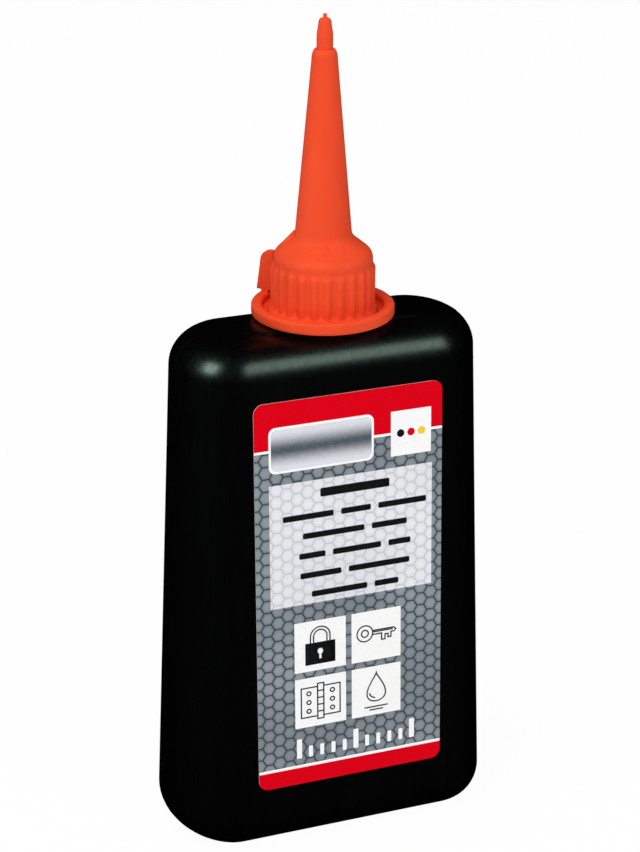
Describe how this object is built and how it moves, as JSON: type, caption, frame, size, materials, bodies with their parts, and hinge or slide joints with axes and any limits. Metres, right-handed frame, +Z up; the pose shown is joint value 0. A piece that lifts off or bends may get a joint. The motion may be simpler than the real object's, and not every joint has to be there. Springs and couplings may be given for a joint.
{
  "type": "graphite lock lubricant tube",
  "caption": "Flat tapered squeeze bottle of graphite powder with a ribbed screw cap that runs up into a long tapered spout, a tear-off ring with a pull tab, and a front label.",
  "frame": {"origin": "middle of the foot, on the surface that the bottle stands on, under the axis of the neck", "axes": "+Z up along the neck and the spout, -Y out of the front face that carries the label, +X to the right of someone who faces the label"},
  "size_m": [0.0604, 0.0292, 0.1478],
  "materials": {
    "bottle_plastic": "satin",
    "label_film": "satin",
    "graphite": "matte",
    "washer_foam": "matte",
    "cap_plastic": "satin"
  },
  "bodies": {
    "bottle": {"bottle": "bottle_plastic", "front_label": "label_film", "graphite_fill": "graphite"},
    "washer": {"seal_washer": "washer_foam"},
    "cap": {"spout_cap": "cap_plastic"},
    "tip": {"spout_tip": "cap_plastic"},
    "ring": {"tear_ring": "cap_plastic"},
    "tab": {"pull_tab": "cap_plastic"}
  },
  "joints": [
    {"name": "cap_lift", "type": "slide", "parent": "bottle", "child": "washer", "axis": [0, 0, 1], "range_m": [0, 0.0045]},
    {"name": "cap_turn", "type": "hinge", "parent": "washer", "child": "cap", "pos_m": [0, 0, 0.105], "axis": [0, 0, 1], "range_deg": [0, 540]},
    {"name": "tip_off", "type": "slide", "parent": "cap", "child": "tip", "axis": [0, 0, 1], "range_m": [0, 0.012]},
    {"name": "ring_tear", "type": "slide", "parent": "bottle", "child": "ring", "axis": [0, 0, 1], "range_m": [0, 0.056]},
    {"name": "tab_bend", "type": "hinge", "parent": "ring", "child": "tab", "pos_m": [-0.00771, 0.00825, 0.0968], "axis": [0.6428, -0.766, 0], "range_deg": [0, 90]}
  ],
  "couplings": [
    {"joint": "cap_lift", "follows": "cap_turn", "m_per_rad": 0.00047746}
  ]
}
